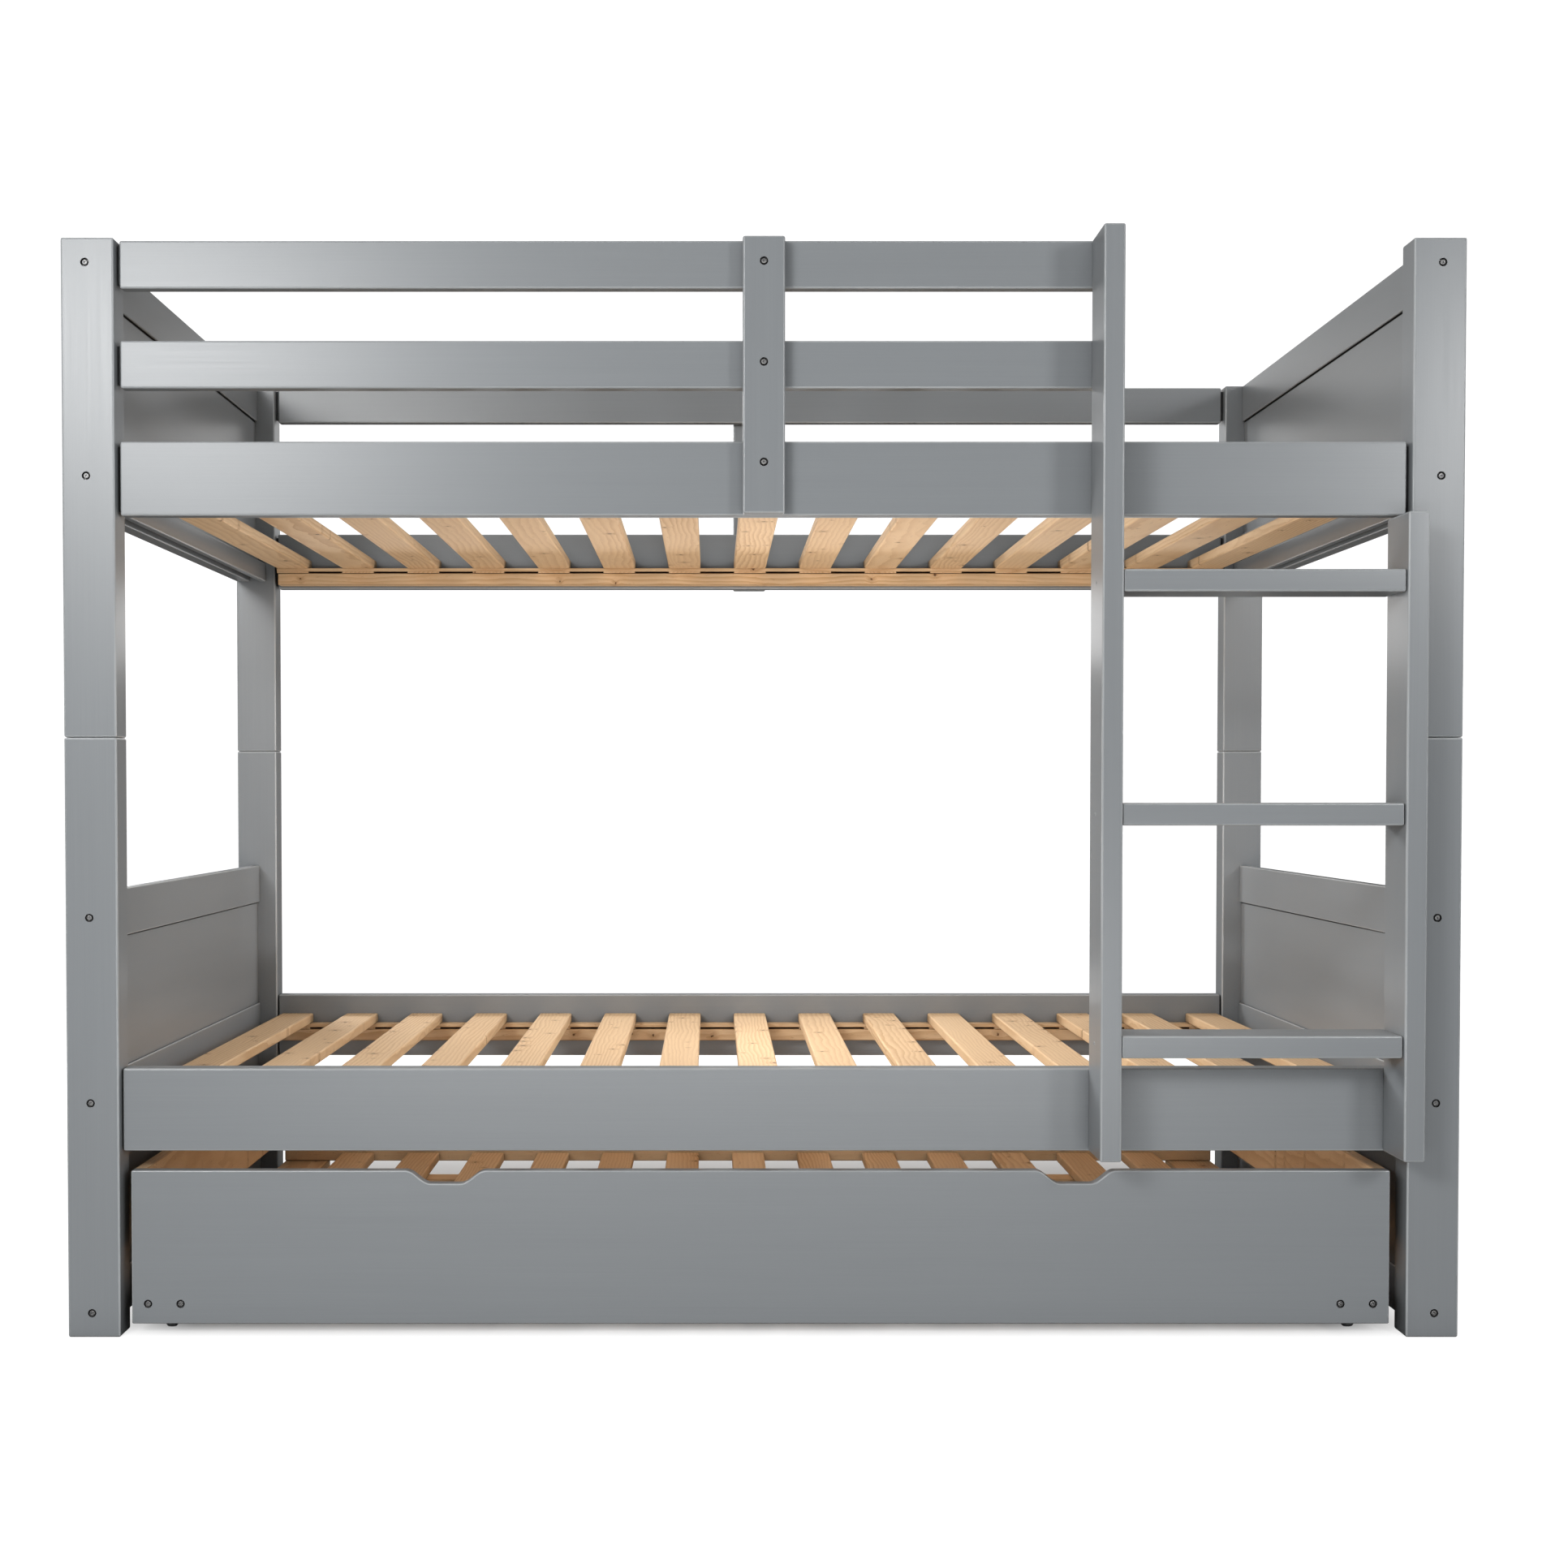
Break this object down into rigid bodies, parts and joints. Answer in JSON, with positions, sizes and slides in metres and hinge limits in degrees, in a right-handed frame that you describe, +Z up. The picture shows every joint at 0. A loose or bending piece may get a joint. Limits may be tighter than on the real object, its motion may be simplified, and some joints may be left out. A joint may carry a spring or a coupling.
{
  "type": "bunk bed with trundle",
  "caption": "Painted wooden bunk bed with slatted bases, guard rails, a fixed ladder at one end and a low trundle bed that rolls out from under it on wheels.",
  "frame": {"origin": "on the floor, below the middle of the whole bed's outline, ladder included", "axes": "+X runs along the bed towards the end where the ladder stands, +Y points to the back (the wall side), +Z is up; the ladder and the trundle's front face -Y"},
  "size_m": [2, 1.06, 1.573],
  "materials": {
    "grey_paint": "satin mid-grey paint on wood",
    "pine": "planed softwood, unpainted",
    "steel": "zinc plated steel",
    "wheel_plastic": "dark grey moulded plastic"
  },
  "bodies": {
    "bed_frame": {"back_brace": "grey_paint", "front_brace": "grey_paint", "guard_middle_back": "grey_paint", "guard_middle_front": "grey_paint", "guard_top_back": "grey_paint", "guard_top_front": "grey_paint", "ladder_rung_1": "grey_paint", "ladder_rung_2": "grey_paint", "ladder_rung_3": "grey_paint", "ladder_stile_left": "grey_paint", "ladder_stile_right": "grey_paint", "lower_end_bottom_rail_left": "grey_paint", "lower_end_bottom_rail_right": "grey_paint", "lower_end_lower_panel_left": "grey_paint", "lower_end_lower_panel_right": "grey_paint", "lower_end_middle_rail_left": "grey_paint", "lower_end_middle_rail_right": "grey_paint", "lower_end_top_rail_left": "grey_paint", "lower_end_top_rail_right": "grey_paint", "lower_end_upper_panel_left": "grey_paint", "lower_end_upper_panel_right": "grey_paint", "lower_post_back_left": "grey_paint", "lower_post_back_right": "grey_paint", "lower_post_front_left": "grey_paint", "lower_post_front_right": "grey_paint", "lower_side_rail_back": "grey_paint", "lower_side_rail_front": "grey_paint", "lower_slat_base": "pine", "lower_slat_ledge_back": "pine", "lower_slat_ledge_front": "pine", "post_pin_back_left": "steel", "post_pin_back_right": "steel", "post_pin_front_left": "steel", "post_pin_front_right": "steel", "upper_end_bottom_rail_left": "grey_paint", "upper_end_bottom_rail_right": "grey_paint", "upper_end_panel_left": "grey_paint", "upper_end_panel_right": "grey_paint", "upper_end_top_rail_left": "grey_paint", "upper_end_top_rail_right": "grey_paint", "upper_post_back_left": "grey_paint", "upper_post_back_right": "grey_paint", "upper_post_front_left": "grey_paint", "upper_post_front_right": "grey_paint", "upper_side_rail_back": "grey_paint", "upper_side_rail_front": "grey_paint", "upper_slat_base": "pine", "upper_slat_ledge_back": "pine", "upper_slat_ledge_front": "pine"},
    "trundle": {"trundle_back_panel": "pine", "trundle_front_panel": "grey_paint", "trundle_runner_beam_left": "pine", "trundle_runner_beam_right": "pine", "trundle_side_board_left": "pine", "trundle_side_board_right": "pine", "trundle_slat_base": "pine"},
    "wheel_front_left": {"trundle_wheel_front_left": "wheel_plastic"},
    "wheel_front_right": {"trundle_wheel_front_right": "wheel_plastic"},
    "wheel_back_left": {"trundle_wheel_back_left": "wheel_plastic"},
    "wheel_back_right": {"trundle_wheel_back_right": "wheel_plastic"}
  },
  "joints": [
    {"name": "trundle_slide", "type": "slide", "parent": "bed_frame", "child": "trundle", "axis": [0, -1, 0], "range_m": [0, 0.94]},
    {"name": "wheel_front_left_spin", "type": "hinge", "parent": "trundle", "child": "wheel_front_left", "pos_m": [-0.8653, -0.40525, 0.025], "axis": [1, 0, 0], "continuous": true},
    {"name": "wheel_front_right_spin", "type": "hinge", "parent": "trundle", "child": "wheel_front_right", "pos_m": [0.8583, -0.40525, 0.025], "axis": [1, 0, 0], "continuous": true},
    {"name": "wheel_back_left_spin", "type": "hinge", "parent": "trundle", "child": "wheel_back_left", "pos_m": [-0.8653, 0.43175, 0.025], "axis": [1, 0, 0], "continuous": true},
    {"name": "wheel_back_right_spin", "type": "hinge", "parent": "trundle", "child": "wheel_back_right", "pos_m": [0.8583, 0.43175, 0.025], "axis": [1, 0, 0], "continuous": true}
  ],
  "couplings": [
    {"joint": "wheel_front_left_spin", "follows": "trundle_slide", "rad_per_m": 40},
    {"joint": "wheel_front_right_spin", "follows": "trundle_slide", "rad_per_m": 40},
    {"joint": "wheel_back_left_spin", "follows": "trundle_slide", "rad_per_m": 40},
    {"joint": "wheel_back_right_spin", "follows": "trundle_slide", "rad_per_m": 40}
  ]
}
